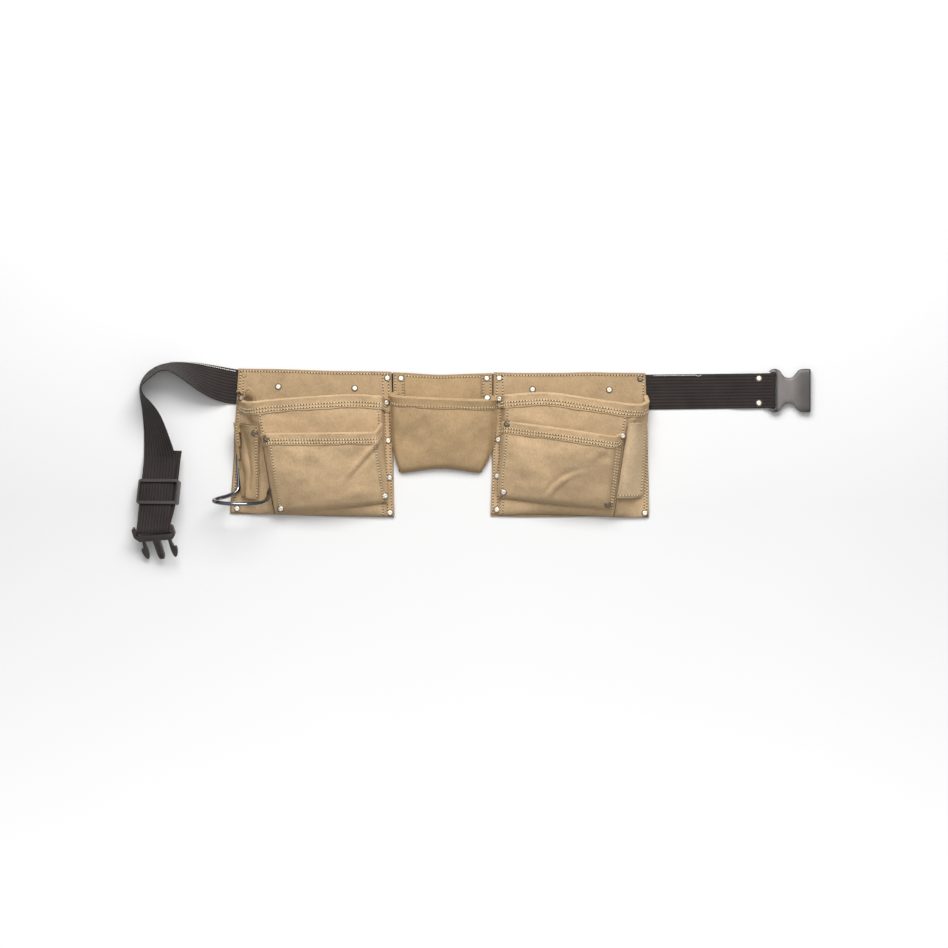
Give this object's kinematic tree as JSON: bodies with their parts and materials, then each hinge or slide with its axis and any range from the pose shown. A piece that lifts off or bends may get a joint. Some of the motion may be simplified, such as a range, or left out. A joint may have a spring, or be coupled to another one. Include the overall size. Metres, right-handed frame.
{
  "type": "tool belt",
  "caption": "Suede tool belt with two gusseted tool bags, a centre pouch, a steel hammer loop and a web belt with a side-release buckle and tri-glide.",
  "frame": {"origin": "on the back face of the centre panel, which rests on the ground, about where the belt's middle is", "axes": "+X along the belt to the right as seen from the front, +Y up the wearer, +Z away from the wearer"},
  "size_m": [0.9511, 0.2779, 0.0658],
  "materials": {
    "suede": "napped split suede",
    "suede_grey_side": "smoother suede",
    "web": "ribbed woven web",
    "grey_plastic": "satin moulded plastic",
    "nickel": "nickel plated",
    "chrome": "polished"
  },
  "bodies": {
    "centre": {"centre_back_panel": "suede", "centre_strip_left": "suede", "centre_strip_right": "suede", "centre_pouch": "suede", "centre_pouch_hem": "suede", "centre_web": "web", "centre_rivet_left": "nickel", "centre_rivet_right": "nickel"},
    "left_bag": {"left_back_panel": "suede", "left_main_gusset_outer": "suede", "left_main_front": "suede", "left_main_gusset_inner": "suede", "left_main_hem": "suede", "left_outer_gusset_left": "suede", "left_outer_front": "suede", "left_outer_gusset_right": "suede", "left_outer_hem": "suede", "holder_back_leaf": "suede", "holder_front_leaf": "suede", "hammer_loop": "chrome", "left_bag_web": "web", "left_band_rivet_1": "nickel", "left_band_rivet_2": "nickel", "left_band_rivet_3": "nickel", "left_band_rivet_4": "nickel", "left_inner_rivet_1": "nickel", "left_inner_rivet_2": "nickel"},
    "right_bag": {"right_back_panel": "suede", "right_main_gusset_outer": "suede", "right_main_front": "suede", "right_main_gusset_inner": "suede", "right_main_hem": "suede", "right_outer_gusset_left": "suede", "right_outer_front": "suede", "right_outer_gusset_right": "suede", "right_outer_hem": "suede", "square_sleeve": "suede_grey_side", "right_bag_web": "web", "right_band_rivet_1": "nickel", "right_band_rivet_2": "nickel", "right_band_rivet_3": "nickel", "right_band_rivet_4": "nickel", "right_inner_rivet_1": "nickel", "right_inner_rivet_2": "nickel"},
    "left_strap": {"left_strap_web": "web"},
    "right_strap": {"right_strap_web": "web", "strap_rivet_upper": "nickel", "strap_rivet_lower": "nickel"},
    "female_buckle": {"female_buckle": "grey_plastic"},
    "male_buckle": {"male_buckle": "grey_plastic"},
    "buckle_arm_left": {"buckle_arm_left": "grey_plastic"},
    "buckle_arm_right": {"buckle_arm_right": "grey_plastic"},
    "tri_glide": {"tri_glide": "grey_plastic"}
  },
  "joints": [
    {"name": "left_bag_fold", "type": "hinge", "parent": "centre", "child": "left_bag", "pos_m": [-0.112, 0.0995, 0.0009], "axis": [0, -1, 0], "range_deg": [0, 70]},
    {"name": "right_bag_fold", "type": "hinge", "parent": "centre", "child": "right_bag", "pos_m": [0.0286, 0.0985, 0.0009], "axis": [0, 1, 0], "range_deg": [0, 70]},
    {"name": "left_strap_fold", "type": "hinge", "parent": "left_bag", "child": "left_strap", "pos_m": [-0.331, 0.105, 0.0009], "axis": [0, -1, 0], "range_deg": [-45, 60]},
    {"name": "right_strap_fold", "type": "hinge", "parent": "right_bag", "child": "right_strap", "pos_m": [0.25, 0.0975, 0.0009], "axis": [0, 1, 0], "range_deg": [-45, 60]},
    {"name": "female_buckle_swing", "type": "hinge", "parent": "right_strap", "child": "female_buckle", "pos_m": [0.421, 0.0995, 0.006], "axis": [0, 1, 0], "range_deg": [-60, 60]},
    {"name": "male_buckle_swing", "type": "hinge", "parent": "left_strap", "child": "male_buckle", "pos_m": [-0.44599, -0.0964, 0.03638], "axis": [0.9461, 0.0798, 0.3139], "range_deg": [-70, 25]},
    {"name": "tri_glide_slide", "type": "slide", "parent": "left_strap", "child": "tri_glide", "axis": [-0.0887, -0.9677, 0.2359], "range_m": [-0.018, 0.018]},
    {"name": "buckle_arm_left_flex", "type": "hinge", "parent": "male_buckle", "child": "buckle_arm_left", "pos_m": [-0.46043, -0.11129, 0.02159], "axis": [-0.213, -0.5768, 0.7886], "range_deg": [0, 10], "stiffness_Nm_per_rad": 0.3},
    {"name": "buckle_arm_right_flex", "type": "hinge", "parent": "male_buckle", "child": "buckle_arm_right", "pos_m": [-0.42353, -0.10818, 0.03383], "axis": [0.213, 0.5768, -0.7886], "range_deg": [0, 10], "stiffness_Nm_per_rad": 0.3}
  ]
}
